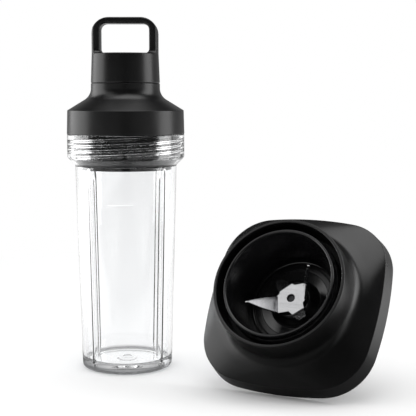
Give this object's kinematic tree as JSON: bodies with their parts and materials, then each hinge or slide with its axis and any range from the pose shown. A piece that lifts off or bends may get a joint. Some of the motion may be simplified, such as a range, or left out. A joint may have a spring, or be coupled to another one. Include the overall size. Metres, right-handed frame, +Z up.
{
  "type": "personal blender jar and blade base",
  "caption": "Clear blender jar closed by a screw-on travel lid with a carrying loop, with its separate leaning blade base beside it.",
  "frame": {"origin": "centre of the jar's foot, on the counter", "axes": "+Z up along the jar's axis; -Y towards the viewer; +X from the jar towards the blade base"},
  "size_m": [0.2209, 0.1572, 0.2474],
  "materials": {
    "clear_plastic": "clear, polished",
    "satin_black": "satin moulded black",
    "gloss_black": "polished moulded black",
    "seal_rubber": "matt silicone",
    "blade_steel": "brushed stainless",
    "shaft_steel": "turned stainless",
    "screw_steel": "bright plated",
    "bearing_bronze": "sintered bronze",
    "washer_white": "natural low-friction plastic"
  },
  "bodies": {
    "jar": {"jar": "clear_plastic"},
    "lid_seal": {"lid_seal": "seal_rubber"},
    "lid": {"lid_core": "satin_black", "lid_cover": "satin_black"},
    "cap_seal": {"cap_seal": "seal_rubber"},
    "cap": {"cap_liner": "satin_black", "cap_shell": "satin_black"},
    "blade_base": {"base_cover": "satin_black", "base_frame": "satin_black", "base_screw_1": "screw_steel", "base_screw_2": "screw_steel", "base_screw_3": "screw_steel", "base_screw_4": "screw_steel", "blade_cup": "gloss_black", "cup_seal": "seal_rubber", "bearing_housing": "shaft_steel", "housing_nut": "screw_steel", "bearing_upper": "bearing_bronze", "bearing_lower": "bearing_bronze", "shaft_seal": "seal_rubber"},
    "drive": {"drive_shaft": "shaft_steel", "blade_spacer": "shaft_steel", "blade": "blade_steel", "thrust_washer": "washer_white", "coupling_hub": "shaft_steel", "coupling_drive": "satin_black", "circlip": "screw_steel"}
  },
  "joints": [
    {"name": "lid_rise", "type": "slide", "parent": "jar", "child": "lid_seal", "axis": [0, 0, 1], "range_m": [0, 0.0175]},
    {"name": "lid_turn", "type": "hinge", "parent": "lid_seal", "child": "lid", "pos_m": [0, 0, 0.15], "axis": [0, 0, 1], "range_deg": [0, 570]},
    {"name": "cap_rise", "type": "slide", "parent": "lid", "child": "cap_seal", "axis": [0, 0, 1], "range_m": [0, 0.0093]},
    {"name": "cap_turn", "type": "hinge", "parent": "cap_seal", "child": "cap", "pos_m": [0, 0, 0.21], "axis": [0, 0, 1], "range_deg": [0, 540]},
    {"name": "base_lift", "type": "slide", "parent": "jar", "child": "blade_base", "axis": [0, 0, 1], "range_m": [0, 0.26]},
    {"name": "blade_spin", "type": "hinge", "parent": "blade_base", "child": "drive", "pos_m": [0.11529, -0.06155, 0.05712], "axis": [-0.3886, -0.7498, 0.5356], "continuous": true}
  ],
  "couplings": [
    {"joint": "lid_rise", "follows": "lid_turn", "m_per_rad": 0.0017189},
    {"joint": "cap_rise", "follows": "cap_turn", "m_per_rad": 0.00095493}
  ]
}
